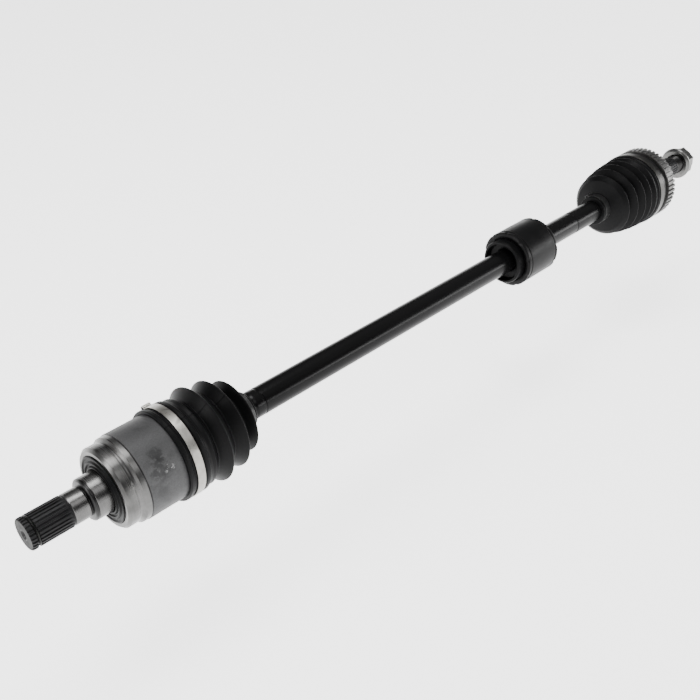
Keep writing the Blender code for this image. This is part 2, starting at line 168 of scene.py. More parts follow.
def lathe(name, rows, materials, angles, shape=None, closed=False, sharp_deg=SHARP_DEG):
    """Spins (x, r, zone) rows round the axle. shape(x, r, angle) may change each radius, and
    closed joins the last row to the first."""
    x = np.array([row[0] for row in rows])[:, None]
    r = np.array([row[1] for row in rows])[:, None]
    x, r, turn = np.broadcast_arrays(x, r, angles[None, :])
    if shape:
        r = np.where(r > 1e-6, shape(x, r, turn), r)
    points = np.stack([AXLE_START_M + x * MM, r * np.cos(turn) * MM, r * np.sin(turn) * MM], -1)
    across = len(angles)
    bands = len(rows) if closed else len(rows) - 1
    faces, zones = [], []
    for band in range(bands):
        ahead = (band + 1) % len(rows)
        low, high = band * across, ahead * across
        for i in range(across):
            j = (i + 1) % across
            if rows[band][1] < 1e-6:
                faces.append((low, high + j, high + i))
            elif rows[ahead][1] < 1e-6:
                faces.append((low + i, low + j, high))
            else:
                faces.append((low + i, low + j, high + j, high + i))
            zones.append(rows[band][2])
    # A point on the axle's centre line is used once; the unused copies of it are dropped.
    flat = points.reshape(-1, 3)
    used = sorted({v for face in faces for v in face})
    place_of = {v: i for i, v in enumerate(used)}
    faces = [tuple(place_of[v] for v in face) for face in faces]
    return finish_mesh(name, flat[used], faces, materials, zones, sharp_deg)


def loop_lathe(name, outer, inner, materials, **options):
    """A ring-like piece: an outer and an inner outline, both given towards the wheel end."""
    rows = rounded(outer) + list(reversed(rounded(inner)))
    return lathe(name, rows, materials, closed=True, **options)


def cut(obj, cutters):
    """Cuts an object with each cutter, applies the result and removes the cutters."""
    for cutter in cutters:
        modifier = obj.modifiers.new("Cut", "BOOLEAN")
        modifier.operation = "DIFFERENCE"
        modifier.solver = "EXACT"
        modifier.object = cutter
    bpy.context.view_layer.update()
    evaluated = obj.evaluated_get(bpy.context.evaluated_depsgraph_get())
    mesh = bpy.data.meshes.new_from_object(evaluated)
    obj.modifiers.clear()
    obj.data = mesh
    for cutter in cutters:
        bpy.data.objects.remove(cutter, do_unlink=True)
    mesh.set_sharp_from_angle(angle=math.radians(SHARP_DEG))


def drill(name, at, outward, radius, depth):
    """A round cutter whose middle lies on the surface."""
    mesh = bpy.data.meshes.new(name)
    work = bmesh.new()
    bmesh.ops.create_cone(
        work, cap_ends=True, segments=16, radius1=radius * MM, radius2=radius * MM, depth=2 * depth * MM,
    )
    work.to_mesh(mesh)
    work.free()
    obj = add_object(name, mesh)
    obj.matrix_world = Matrix.Translation(at) @ outward.to_track_quat("Z", "Y").to_matrix().to_4x4()
    return obj


def spline_teeth(x0, x1, root_r, tip_r, run_out, start_run=0.0):
    """A shape for lathe(): straight teeth whose gaps run out in a curve at the far end."""
    tip_share, flank = 0.4, 0.1

    def shape(x, r, angle):
        share = (angle * STUB_TEETH / TURN) % 1.0
        gap = np.clip((share - tip_share) / flank, 0, 1) * np.clip((1.0 - share) / flank, 0, 1)
        far = np.clip((x1 - x) / run_out, 0, 1)
        depth = np.sqrt(np.clip(1 - (1 - far) ** 2, 0, 1))
        if start_run:
            near = np.clip((x - x0) / start_run, 0, 1)
            depth = depth * np.sqrt(np.clip(1 - (1 - near) ** 2, 0, 1))
        inside = (x >= x0) & (x <= x1)
        floor = tip_r - (tip_r - root_r) * gap * depth
        return np.where(inside & (r > floor), floor, r)
    return shape


# ---------------------------------------------------------------- materials

def set_stops(ramp, stops):
    """Fills a colour ramp node with (place, shade) stops; a shade is one grey value or a colour."""
    elements = ramp.color_ramp.elements
    while len(elements) < len(stops):
        elements.new(0.5)
    for element, (at, shade) in zip(elements, stops):
        element.position = at
        shade = (shade, shade, shade) if isinstance(shade, (int, float)) else shade
        element.color = (*shade, 1.0)


class Look:
    """Builds one procedural material. Its textures read the object's own coordinates."""

    def __init__(self, name, metallic=0.0, roughness=0.5, **sockets):
        self.material = bpy.data.materials.new(name)
        self.material.use_nodes = True
        self.tree = self.material.node_tree
        self.shader = self.tree.nodes["Principled BSDF"]
        self.place = self.tree.nodes.new("ShaderNodeTexCoord").outputs["Object"]
        self.shader.inputs["Metallic"].default_value = metallic
        self.shader.inputs["Roughness"].default_value = roughness
        for socket, value in sockets.items():
            self.shader.inputs[socket.replace("_", " ")].default_value = value

    def add(self, kind, **settings):
        node = self.tree.nodes.new(kind)
        for key, value in settings.items():
            setattr(node, key, value)
        return node

    def link(self, source, target):
        self.tree.links.new(source, target)

    def noise(self, scale, detail, rough=0.55, stretch=(1.0, 1.0, 1.0), distortion=0.0):
        mapping = self.add("ShaderNodeMapping")
        mapping.inputs["Scale"].default_value = stretch
        self.link(self.place, mapping.inputs["Vector"])
        texture = self.add("ShaderNodeTexNoise")
        texture.inputs["Scale"].default_value = scale
        texture.inputs["Detail"].default_value = detail
        texture.inputs["Roughness"].default_value = rough
        texture.inputs["Distortion"].default_value = distortion
        self.link(mapping.outputs["Vector"], texture.inputs["Vector"])
        return texture.outputs["Fac"]

    def ramp(self, value, stops):
        node = self.add("ShaderNodeValToRGB")
        set_stops(node, stops)
        self.link(value, node.inputs["Fac"])
        return node.outputs["Color"]

    def maths(self, operation, a, b):
        node = self.add("ShaderNodeMath", operation=operation)
        for socket, value in zip(node.inputs, (a, b)):
            if isinstance(value, (int, float)):
                socket.default_value = value
            else:
                self.link(value, socket)
        return node.outputs["Value"]

    def mix(self, share, a, b, how="MIX"):
        # A Mix node has its sockets once for each type: the colours are inputs 6 and 7 and output 2.
        node = self.add("ShaderNodeMix", data_type="RGBA", blend_type=how)
        for socket, value in zip((node.inputs[0], node.inputs[6], node.inputs[7]), (share, a, b)):
            if isinstance(value, (int, float)):
                socket.default_value = value
            elif isinstance(value, tuple):
                socket.default_value = (*value, 1.0)
            else:
                self.link(value, socket)
        return node.outputs[2]

    def near(self, at, radius):
        """1 at a point, falling to 0 at a radius from it, with a ragged edge."""
        far = self.add("ShaderNodeVectorMath", operation="DISTANCE")
        self.link(self.place, far.inputs[0])
        far.inputs[1].default_value = at
        ragged = self.maths("ADD", self.noise(160.0, 5.0, 0.7), 0.55)
        share = self.maths("DIVIDE", far.outputs["Value"], radius)
        inside = self.maths("SUBTRACT", ragged, share)
        return self.maths("MINIMUM", self.maths("MAXIMUM", inside, 0.0), 1.0)

    def bump(self, height, strength, distance):
        node = self.add("ShaderNodeBump")
        node.inputs["Strength"].default_value = strength
        node.inputs["Distance"].default_value = distance
        self.link(height, node.inputs["Height"])
        previous = self.shader.inputs["Normal"].links
        if previous:
            self.link(previous[0].from_socket, node.inputs["Normal"])
        self.link(node.outputs["Normal"], self.shader.inputs["Normal"])

    def colour(self, source):
        self.link(source, self.shader.inputs["Base Color"])

    def roughness(self, source):
        self.link(source, self.shader.inputs["Roughness"])


def bar_paint():
    look = Look("bar_paint", roughness=0.3, Specular_IOR_Level=0.10)
    streaks = look.noise(38.0, 6.0, 0.6, stretch=(0.12, 1.0, 1.0))
    fine = look.noise(900.0, 3.0, 0.6)
    look.colour(look.ramp(streaks, [(0.30, (0.0020, 0.0020, 0.0021)), (0.75, (0.0050, 0.0050, 0.0052))]))
    look.roughness(look.ramp(streaks, [(0.25, 0.20), (0.8, 0.30)]))
    look.bump(fine, 0.05, 0.0003)
    look.bump(streaks, 0.05, 0.0008)
    return look.material


def rubber():
    look = Look("boot_rubber", roughness=0.45, Specular_IOR_Level=0.07)
    cloud = look.noise(22.0, 5.0, 0.6)
    grain = look.noise(1500.0, 3.0, 0.6)
    look.colour(look.ramp(cloud, [(0.3, (0.0022, 0.0022, 0.0024)), (0.72, (0.0048, 0.0048, 0.0050))]))
    look.roughness(look.ramp(cloud, [(0.3, 0.36), (0.75, 0.48)]))
    look.bump(grain, 0.10, 0.0002)
    look.bump(cloud, 0.06, 0.001)
    return look.material


def damper_black():
    look = Look("damper_black", roughness=0.42, Specular_IOR_Level=0.10)
    cloud = look.noise(45.0, 6.0, 0.6)
    scuff = look.noise(120.0, 8.0, 0.7, stretch=(0.4, 1.0, 1.0))
    look.colour(look.ramp(cloud, [(0.3, (0.0018, 0.0018, 0.0019)), (0.75, (0.0042, 0.0042, 0.0044))]))
    look.roughness(look.ramp(scuff, [(0.3, 0.30), (0.75, 0.46)]))
    look.bump(scuff, 0.08, 0.0004)
    return look.material


def phosphate(name, dark, pale, smudges=(), scratch=None):
    """Dark phosphated steel. Each smudge is a (point, radius) darkened with a ragged edge, and
    scratch is a (point, radius) with fine pale marks; both in metres."""
    look = Look(name, metallic=0.2, roughness=0.5, Specular_IOR_Level=0.12)
    cloud = look.noise(18.0, 8.0, 0.62, distortion=0.4)
    stain = look.noise(34.0, 4.0, 0.55, stretch=(0.7, 1.0, 1.0), distortion=0.8)
    speck = look.noise(900.0, 4.0, 0.7)
    base = look.ramp(cloud, [(0.28, dark), (0.72, pale)])
    base = look.mix(1.0, base, look.ramp(stain, [(0.54, 1.0), (0.68, 0.72)]), "MULTIPLY")
    base = look.mix(1.0, base, look.ramp(speck, [(0.2, 0.75), (0.8, 1.25)]), "MULTIPLY")
    ragged = look.ramp(look.noise(150.0, 6.0, 0.7, distortion=0.5), [(0.38, 0.0), (0.56, 1.0)])
    for at, radius in smudges:
        stained = look.maths("MULTIPLY", look.near(at, radius), ragged)
        base = look.mix(1.0, base, look.ramp(stained, [(0.12, 1.0), (0.5, 0.58)]), "MULTIPLY")
    if scratch:
        marks = look.noise(420.0, 2.0, 0.8, stretch=(1.0, 0.25, 1.0))
        share = look.maths("MULTIPLY", look.near(*scratch), look.ramp(marks, [(0.58, 0.0), (0.62, 1.0)]))
        base = look.mix(share, base, (0.30, 0.30, 0.30))
    look.colour(base)
    look.roughness(look.ramp(cloud, [(0.3, 0.40), (0.75, 0.56)]))
    look.bump(speck, 0.12, 0.0002)
    return look.material


def turned_steel(name, dark, pale, roughness):
    """Bare metal with the fine rings that a lathe leaves, and faint stains."""
    look = Look(name, metallic=1.0, roughness=0.28)
    rings = look.noise(700.0, 3.0, 0.6, stretch=(1.0, 0.01, 0.01))
    wide_rings = look.noise(220.0, 3.0, 0.6, stretch=(1.0, 0.02, 0.02))
    cloud = look.noise(55.0, 6.0, 0.6)
    base = look.ramp(cloud, [(0.3, dark), (0.7, pale)])
    look.colour(look.mix(0.5, base, look.ramp(wide_rings, [(0.3, 0.62), (0.7, 1.0)]), "MULTIPLY"))
    look.roughness(look.ramp(rings, [(0.25, roughness[0]), (0.75, roughness[1])]))
    look.bump(rings, 0.03, 0.0002)
    return look.material


def clamp_steel(name, dark, pale):
    """Bright band steel with finger smudges."""
    look = Look(name, metallic=1.0, roughness=0.3)
    cloud = look.noise(60.0, 5.0, 0.6)
    smudge = look.noise(40.0, 2.0, 0.5, distortion=0.6)
    fine = look.noise(700.0, 4.0, 0.7)
    base = look.ramp(cloud, [(0.3, dark), (0.7, pale)])
    look.colour(look.mix(1.0, base, look.ramp(smudge, [(0.62, 1.0), (0.68, 0.30)]), "MULTIPLY"))
    look.roughness(look.ramp(fine, [(0.3, 0.26), (0.75, 0.42)]))
    look.bump(fine, 0.10, 0.0002)
    return look.material


def dull_steel(name, dark, pale, rough_low, rough_high, metallic=0.9, **sockets):
    """Coated or oxidised steel, evenly dull."""
    look = Look(name, metallic=metallic, roughness=0.5, **sockets)
    cloud = look.noise(90.0, 6.0, 0.65)
    fine = look.noise(1000.0, 4.0, 0.7)
    look.colour(look.ramp(cloud, [(0.3, dark), (0.72, pale)]))
    look.roughness(look.ramp(fine, [(0.3, rough_low), (0.75, rough_high)]))
    look.bump(fine, 0.14, 0.0002)
    return look.material


PAINT = bar_paint()
RUBBER = rubber()
DAMPER = damper_black()
PHOSPHATE = phosphate(
    "phosphated_steel", (0.040, 0.040, 0.041), (0.078, 0.078, 0.079),
    [(on_axle(98.0, 37.0, 146.0), 0.012), (on_axle(101.0, 37.0, 130.0), 0.008)],
    (on_axle(106.0, 37.0, 152.0), 0.005),
)
SPLINE_DARK = phosphate("spline_phosphate", (0.010, 0.010, 0.0105), (0.028, 0.028, 0.0285))
MACHINED = turned_steel("machined_steel", (0.06, 0.0595, 0.058), (0.14, 0.1385, 0.136), (0.24, 0.34))
JOURNAL = turned_steel("ground_journal", (0.09, 0.089, 0.088), (0.14, 0.138, 0.136), (0.24, 0.29))
END_FACE = dull_steel(
    "stub_end_face", (0.07, 0.07, 0.07), (0.12, 0.12, 0.119), 0.45, 0.60, 0.0, Specular_IOR_Level=0.0,
)
COLLAR = turned_steel("collar_steel", (0.018, 0.018, 0.018), (0.040, 0.040, 0.040), (0.26, 0.38))
BEARING = turned_steel("bearing_steel", (0.50, 0.50, 0.51), (0.62, 0.62, 0.63), (0.10, 0.18))
CLAMP = clamp_steel("clamp_steel", (0.22, 0.21, 0.195), (0.42, 0.41, 0.38))
CLAMP_DULL = clamp_steel("clamp_steel_dull", (0.025, 0.0245, 0.023), (0.06, 0.0585, 0.056))
CLAMP_BLACK = dull_steel("black_clamp", (0.010, 0.010, 0.010), (0.022, 0.022, 0.022), 0.3, 0.45, 0.3)
TONE = dull_steel("tone_steel", (0.06, 0.059, 0.058), (0.14, 0.138, 0.135), 0.34, 0.52)
RACE_BAND = turned_steel("race_steel", (0.025, 0.0248, 0.0245), (0.055, 0.0545, 0.054), (0.28, 0.42))
SPRING = dull_steel("spring_steel", (0.006, 0.006, 0.006), (0.020, 0.020, 0.019), 0.35, 0.5)
PLATED = turned_steel("zinc_plated", (0.10, 0.10, 0.098), (0.19, 0.188, 0.184), (0.22, 0.36))


def settle(obj, body, node):
    """Rides a finished piece on its body and hides the node it stands for."""
    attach(obj, body)
    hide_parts(node)


# ---------------------------------------------------------------- pieces on the bar

def make_bar():
    groove_r, ring_r = BAR_R - 0.6, BAR_R - 0.45
    rows = rounded([
        (95.0, 0.0), (95.0, 9.6, 0.7), (96.2, 9.6), (96.2, 8.4), (97.8, 8.4), (97.8, 9.6),
        (118.4, 9.6), (118.4, 10.5, 0.5), (150.0, 10.5, 30.0), (188.0, BAR_SEAT_R, 30.0),
        (208.0, BAR_SEAT_R, 1.0), (210.0, BAR_R, 1.0),
        (216.4, BAR_R, 0.3), (216.9, groove_r, 0.3), (218.7, groove_r, 0.3), (219.2, BAR_R, 0.3),
        (680.0, BAR_R, 0.25), (680.35, ring_r, 0.2), (681.85, ring_r, 0.2), (682.2, BAR_R, 0.25),
        (722.0, BAR_R, 0.8), (724.0, BAR_SEAT_R, 0.8), (810.0, BAR_SEAT_R), (810.0, 10.7),
        (834.2, 10.7), (834.2, 9.6), (835.8, 9.6), (835.8, 10.7), (837.5, 10.7, 0.7), (837.5, 0.0),
    ])
    settle(lathe("bar", rows, [PAINT], even_angles(96)), "shaft", "shaft_bar")


def make_damper():
    x0, x1, outer_r = DAMPER_X0, DAMPER_X1, DAMPER_R
    notch_count = 9

    def wavy_rims(x, r, angle):
        wave = np.clip(np.cos(angle * notch_count) - 0.72, 0, 1) / 0.28
        near_rim = np.exp(-((np.minimum(x - x0, x1 - x) - 1.0) / 1.6) ** 2)
        return r - 0.9 * wave * near_rim * (r > 24.0)

    outer = [
        (x0 + 3.2, 17.4), (x0 + 3.2, 23.9, 0.4), (x0 + 0.4, 24.4, 0.5), (x0, 27.2, 1.0),
        (x0 + 1.0, outer_r, 1.0), (x0 + 4.2, outer_r, 0.3),
        (x0 + 4.8, outer_r - 0.55, 0.2), (x0 + 6.0, outer_r - 0.55, 0.2), (x0 + 6.6, outer_r, 0.3),
        (x1 - 5.6, outer_r, 0.3), (x1 - 5.0, outer_r - 0.4, 0.2), (x1 - 4.0, outer_r - 0.4, 0.2),
        (x1 - 3.4, outer_r, 0.3), (x1 - 1.2, outer_r, 1.2), (x1, 27.4, 0.8), (x1, 17.4),
    ]
    weight = lathe("damper_mass", rounded(outer), [DAMPER], even_angles(216), wavy_rims, closed=True)
    pins = []
    for i in range(6):
        angle_deg = 22.0 + 60.0 * i
        angle = math.radians(angle_deg)
        outward = Vector((0.0, math.cos(angle), math.sin(angle)))
        pins.append(drill(f"damper_pin_{i}", on_axle(x0 + 10.0, outer_r, angle_deg), outward, 0.8, 2.4))
    cut(weight, pins)
    settle(weight, "shaft", "damper_weight")

    neck = loop_lathe(
        "damper_neck",
        [(x0 - 9.2, 21.0, 0.4), (x0 - 9.0, 22.6, 1.2), (x0 - 7.6, 23.4, 1.0), (x0 - 5.0, 22.9, 2.0),
         (x0 + 1.6, 23.1, 1.0), (x0 + 2.6, 22.4, 0.6), (x0 + 2.8, 17.0, 0.3), (x1 + 2.0, 17.0, 0.6)],
        [(x0 - 9.2, 20.6, 0.5), (x0 - 2.0, 19.2, 1.0), (x0 - 1.0, 12.9, 0.8), (x1 + 2.0, 12.9)],
        [RUBBER], angles=even_angles(128),
    )
    settle(neck, "shaft", "damper_sleeve")


# ---------------------------------------------------------------- band clamps

def clamp_path(radius, ear_height, ear_half, ear_deg):
    """Middle line of the band: a circle with one pinched ear, as (y, z) rows."""
    half = ear_half / radius
    plain = np.linspace(half * 2.2, TURN - half * 2.2, 150)
    ear = np.linspace(-half * 2.1, half * 2.1, 41)
    angles = np.concatenate([ear, plain])
    lift = np.zeros(len(angles))
    inside = np.abs(ear) / half
    crown = 1 - 0.25 * np.clip(inside, 0, 1) ** 2
    lift[: len(ear)] = ear_height * crown / (1 + np.exp((inside - 1.0) * 11.0))
    # The ear is pinched in at its foot, as the crimping tool leaves it.
    squeeze = np.concatenate([1 - 0.30 * np.exp(-((inside - 0.95) / 0.35) ** 2), np.ones(len(plain))])
    turn = math.radians(ear_deg) + angles * squeeze
    reach = radius + lift
    return np.stack([reach * np.cos(turn), reach * np.sin(turn)], -1)


def make_clamp(name, body, node, x0, x1, inner_r, finish, ear_height=3.2, ear_deg=45.0):
    thick, ear_half = 0.95, 3.0
    middle = clamp_path(inner_r + thick / 2, ear_height, ear_half, ear_deg)
    ahead = np.roll(middle, -1, 0) - np.roll(middle, 1, 0)
    ahead /= np.linalg.norm(ahead, axis=1)[:, None]
    normal = np.stack([ahead[:, 1], -ahead[:, 0]], -1)
    soft = 0.28
    section = [
        (x0 + soft, -0.5), (x0, -0.5 + soft), (x0, 0.5 - soft), (x0 + soft, 0.5),
        (x1 - soft, 0.5), (x1, 0.5 - soft), (x1, -0.5 + soft), (x1 - soft, -0.5),
    ]
    points, faces = [], []
    for x, share in section:
        for (y, z), (ny, nz) in zip(middle, normal):
            points.append((station(x), (y + ny * share * thick) * MM, (z + nz * share * thick) * MM))
    count, sides = len(middle), len(section)
    for side in range(sides):
        low, high = side * count, (side + 1) % sides * count
        for i in range(count):
            j = (i + 1) % count
            faces.append((low + i, low + j, high + j, high + i))
    settle(finish_mesh(name, points, faces, [finish]), body, node)


def make_clamps():
    make_clamp("inboard_big_band", "inboard_housing", "inboard_large_clamp", 125.0, 132.3, 39.2, CLAMP, 2.5)
    make_clamp("inboard_small_band", "shaft", "inboard_small_clamp", 197.0, 203.0, 15.7, CLAMP_BLACK, 2.4)
    make_clamp("outboard_small_band", "shaft", "outboard_small_clamp", 732.2, 740.4, 15.7, CLAMP_BLACK, 2.4)
    make_clamp(
        "outboard_big_band", "outer_race", "outboard_large_clamp", 808.4, 816.6, 42.1, CLAMP_DULL,
        ear_deg=-35.0,
    )


# ---------------------------------------------------------------- boots

def moulding_lines(angles_deg, depth=0.28):
    """A shape for lathe(): a fine sunk line where the mould's halves met."""
    def shape(x, r, angle):
        line = np.zeros_like(r)
        for at in angles_deg:
            off = np.angle(np.exp(1j * (angle - math.radians(at))))
            line = np.maximum(line, np.exp(-((off / math.radians(0.55)) ** 2)))
        return r - depth * line
    return shape


def boot_portion(name, rows, portion, parting_deg):
    """One stretch of a boot's closed skin, with its mould lines; the boot node it stands for is hidden."""
    angles = with_extra(even_angles(168), [math.radians(a) for a in parting_deg], math.radians(1.2))
    obj = lathe(name, rows, [RUBBER], angles, moulding_lines(parting_deg), sharp_deg=60.0, closed=True)
    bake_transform(obj)
    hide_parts(portion)


def split_rows(outer, inner, at_x):
    """Cuts a boot's outer and inner outlines at one X, and closes each half into a loop."""
    def divide(rows):
        xs = np.array([row[0] for row in rows])
        k = int(np.argmax(xs >= at_x))
        share = (at_x - xs[k - 1]) / (xs[k] - xs[k - 1])
        r = rows[k - 1][1] + share * (rows[k][1] - rows[k - 1][1])
        return rows[:k] + [(at_x, r, 0)], [(at_x, r, 0)] + rows[k:]
    near_outer, far_outer = divide(outer)
    near_inner, far_inner = divide(inner)
    return near_outer + near_inner[::-1], far_outer + far_inner[::-1]


def ridges(crests, valleys, crest_round, valley_round):
    """Profile points for a boot's folds: each crest has a short flat, each valley is one point."""
    half_flat = 0.5
    points = []
    for (crest_x, crest_r), (valley_x, valley_r) in zip(crests, valleys):
        points += [(crest_x - half_flat, crest_r, crest_round), (crest_x + half_flat, crest_r, crest_round)]
        points += [(valley_x, valley_r, valley_round)]
    return points


def make_inboard_boot():
    middle_x = 167.4
    outer = rounded(
        [(118.2, 37.6), (118.2, 39.4, 0.8), (119.4, 40.0, 0.8), (121.8, 40.0, 0.8), (123.0, 38.9, 0.4),
         (133.2, 38.9, 0.4), (134.2, 39.9, 0.9), (137.2, 39.9, 1.2), (138.2, 38.4, 0.8),
         (141.0, 38.0, 1.0), (144.0, 38.4, 0.9), (146.6, 36.9, 1.2), (149.5, 33.0, 2.5)]
        + ridges([(157.5, 42.3), (176.6, 39.1), (191.2, 32.2)],
                 [(middle_x, 31.6), (184.6, 24.4), (195.6, 16.2)], 3.6, 1.5)
        + [(196.4, 15.4, 0.5), (203.6, 15.4, 0.4), (204.4, 15.8, 0.5), (205.2, 15.2, 0.7), (205.2, 12.7)],
        arc_points=7,
    )
    inner = rounded(
        [(118.2, 37.35), (137.4, 37.35, 0.5), (146.0, 33.5, 1.5), (149.5, 30.4, 2.0)]
        + ridges([(157.5, 39.6), (176.6, 36.4), (190.4, 29.4)],
                 [(middle_x, 28.9), (184.6, 21.8), (193.6, 14.6)], 2.0, 2.4)
        + [(195.0, 12.5, 0.6), (205.2, 12.6)],
    )
    near, far = split_rows(outer, inner, middle_x)
    lines = (109.5, 289.5)
    boot_portion("inboard_boot_wide", near, "inboard_boot",
                 lines)
    boot_portion("inboard_boot_narrow", far, "inboard_boot",
                 lines)


def make_outboard_boot():
    middle_x = 770.8
    outer = rounded(
        [(728.0, 12.6), (728.0, 16.4, 0.7), (730.8, 16.9, 0.7), (731.6, 15.4, 0.5), (741.0, 15.4, 0.5),
         (742.2, 17.0, 0.8), (743.6, 22.0, 2.0), (745.6, 31.0, 4.0)]
        + ridges([(750.4, 35.6), (764.0, 38.8), (777.4, 40.8), (789.4, 41.7), (799.8, 42.1)],
                 [(757.4, 26.0), (middle_x, 30.0), (783.8, 34.2), (794.8, 37.8), (803.8, 40.8)], 3.2, 0.9)
        + [(806.0, 42.5, 0.8), (807.4, 42.5, 0.5), (808.0, 41.8, 0.3), (817.2, 41.8, 0.3),
           (818.4, 42.3, 0.5), (818.6, 40.9)],
        arc_points=7,
    )
    inner = rounded(
        [(728.0, 12.35), (742.5, 12.4, 1.0), (745.6, 18.5, 2.0), (747.6, 28.5, 3.0)]
        + ridges([(750.6, 32.8), (764.0, 36.0), (777.4, 38.0), (789.4, 39.0), (799.8, 39.5)],
                 [(757.4, 23.4), (middle_x, 27.4), (783.8, 31.6), (794.8, 35.3), (803.8, 38.9)], 1.3, 1.5)
        + [(805.6, 40.85, 0.4), (818.6, 40.85)],
    )
    near, far = split_rows(outer, inner, middle_x)
    lines = (45.0, 225.0)
    boot_portion("outboard_boot_narrow", near, "outboard_boot",
                 lines)
    boot_portion("outboard_boot_wide", far, "outboard_boot",
                 lines)


# ---------------------------------------------------------------- inboard housing

DARK, BRIGHT, BODY, SHINE, FACE, RIM = range(6)
HOUSING_MATERIALS = [SPLINE_DARK, MACHINED, PHOSPHATE, JOURNAL, END_FACE, COLLAR]


def tulip_cutter():
    """The three-lobed hollow that the rollers run in, with its flared mouth."""
    core_r, track_r, roller_at, limit_r = 17.2, 15.9, 20.0, 32.5
    mouth_x, mouth_slope = 118.0, 10.0 / 24.0
    lobes = [math.radians(90.0 + 120.0 * i) for i in range(3)]

    def outline(x, r, angle):
        reach = np.full_like(r, core_r)
        for lobe in lobes:
            off = np.angle(np.exp(1j * (angle - lobe)))
            side = roller_at * np.sin(off)
            hit = (np.abs(off) < math.pi / 2) & (np.abs(side) < track_r)
            far = roller_at * np.cos(off) + np.sqrt(np.clip(track_r**2 - side**2, 0, None))
            reach = np.where(hit, np.maximum(reach, np.minimum(far, limit_r)), reach)
        flare = np.clip(17.0 + (x - mouth_x) * mouth_slope, 0, None)
        return np.maximum(reach, flare)

    rows = [(74.0, 0.0, 0)] + [(x, 10.0, 0) for x in (74.0, mouth_x, 127.0, 140.0)] + [(140.0, 0.0, 0)]
    return lathe("tulip_hollow", rows, [BEARING], even_angles(144), outline)


def make_inboard_housing():
    # The steps stand closer together where the tooth gaps run out.
    tooth_steps = (9.0, 26.0, 28.0, 29.5, 30.6, 31.6, 32.4, 33.0)
    # The centre hole's countersink, from x 1.8 to the face, takes the dark RIM collar finish: painted shade
    # in the hole.
    rows = rounded([
        (7.4, 0.0, 0.0, DARK), (6.6, 2.1, 0.0), (1.8, 2.4, 0.1, RIM), (0.0, 4.4, 0.12, FACE),
        (0.0, 12.3, 0.15, DARK), (1.0, STUB_R, 0.2), (3.9, STUB_R), (4.4, STUB_R, 0.15), (4.4, 11.1),
        (7.2, 11.1), (7.2, STUB_R, 0.15), *((x, STUB_R) for x in tooth_steps), (33.5, STUB_R, 0.2),
        (34.4, 12.5, 0.3), (35.4, 12.6, 0.3, SHINE), (35.8, 13.0, 0.2), (47.6, 13.0, 0.4, RIM),
        (48.3, 12.6, 0.3), (48.9, 12.8, 0.3), (49.3, 16.2, 1.2), (50.4, 17.6, 1.2), (51.8, 17.6, 0.5),
        (52.3, 17.3, 0.2, SHINE), (52.8, 17.75, 0.2), (69.2, 17.75), (69.2, 28.9, 0.3, RIM),
        (66.0, 28.9, 0.25, BRIGHT), (66.0, 32.2, 0.3), (68.2, 34.4, 0.35), (75.4, 34.4, 0.3),
        (76.0, 33.6, 0.3), (77.4, 33.6, 0.3), (78.6, 34.4, 0.4), (80.4, 36.4, 0.35),
        (84.7, 36.5, 0.2, RIM), (85.3, 36.4, 0.1), (85.6, 37.0, 0.3, BODY),
        (136.0, 37.0, 0.5, BRIGHT), (136.0, 0.0),
    ])
    housing = lathe(
        "tulip_housing", rows, HOUSING_MATERIALS,
        tooth_angles(STUB_TEETH, TOOTH_SHARES),
        spline_teeth(-1.0, 33.2, STUB_R - 1.1, STUB_R, 6.5),
    )
    cut(housing, [tulip_cutter()])
    settle(housing, "inboard_housing", "inboard_housing")


def make_circlip():
    """Round wire in the stub's groove, open where its ends show."""
    at_x, centre_r, wire_r, gap, sides = 6.0, 12.35, 0.8, math.radians(34.0), 12
    gap_at = math.radians(225.0)
    turns = np.linspace(gap_at + gap / 2, gap_at - gap / 2 + TURN, 120)
    points, faces = [], []
    for turn in turns:
        outward = np.array((0.0, math.cos(turn), math.sin(turn)))
        for side in range(sides):
            angle = TURN * side / sides
            spot = outward * (centre_r + wire_r * math.cos(angle))
            points.append((station(at_x) + wire_r * math.sin(angle) * MM, spot[1] * MM, spot[2] * MM))
    for ring in range(len(turns) - 1):
        for side in range(sides):
            other = (side + 1) % sides
            low, high = ring * sides, (ring + 1) * sides
            faces.append((low + side, low + other, high + other, high + side))
    last = (len(turns) - 1) * sides
    faces += [tuple(range(sides)), tuple(range(last, last + sides))]
    circlip = finish_mesh("stub_circlip", points, faces, [SPRING])
    settle(circlip, "inboard_housing", "inboard_circlip")


def make_dust_seal():
    outer = rounded([
        (68.9, 18.2), (64.6, 18.2, 0.3), (63.9, 18.9, 0.4), (64.0, 19.8, 0.4), (65.6, 20.6, 0.4),
        (65.6, 21.9, 0.4), (64.3, 22.5, 0.4), (64.3, 23.6, 0.5), (65.7, 24.5, 0.4), (65.7, 26.6, 0.4),
        (64.9, 27.2, 0.4), (64.9, 28.0, 0.3), (65.6, 28.5, 0.3), (68.9, 28.5),
    ])
    seal = lathe("gearbox_dust_seal", outer, [RUBBER], even_angles(128), closed=True)
    settle(seal, "inboard_housing", "dust_seal_ring")


# ---------------------------------------------------------------- wheel end

def track_torus(name, angle):
    """A cutter for two opposite ball tracks."""
    bpy.ops.mesh.primitive_torus_add(
        major_segments=72, minor_segments=24, major_radius=28.5 * MM, minor_radius=9.1 * MM,
    )
    torus = bpy.context.active_object
    torus.name = name
    across = Vector((0.0, -math.sin(angle), math.cos(angle)))
    turn = Vector((0.0, 0.0, 1.0)).rotation_difference(across)
    torus.matrix_world = Matrix.Translation((station(BALL_X), 0, 0)) @ turn.to_matrix().to_4x4()
    return torus


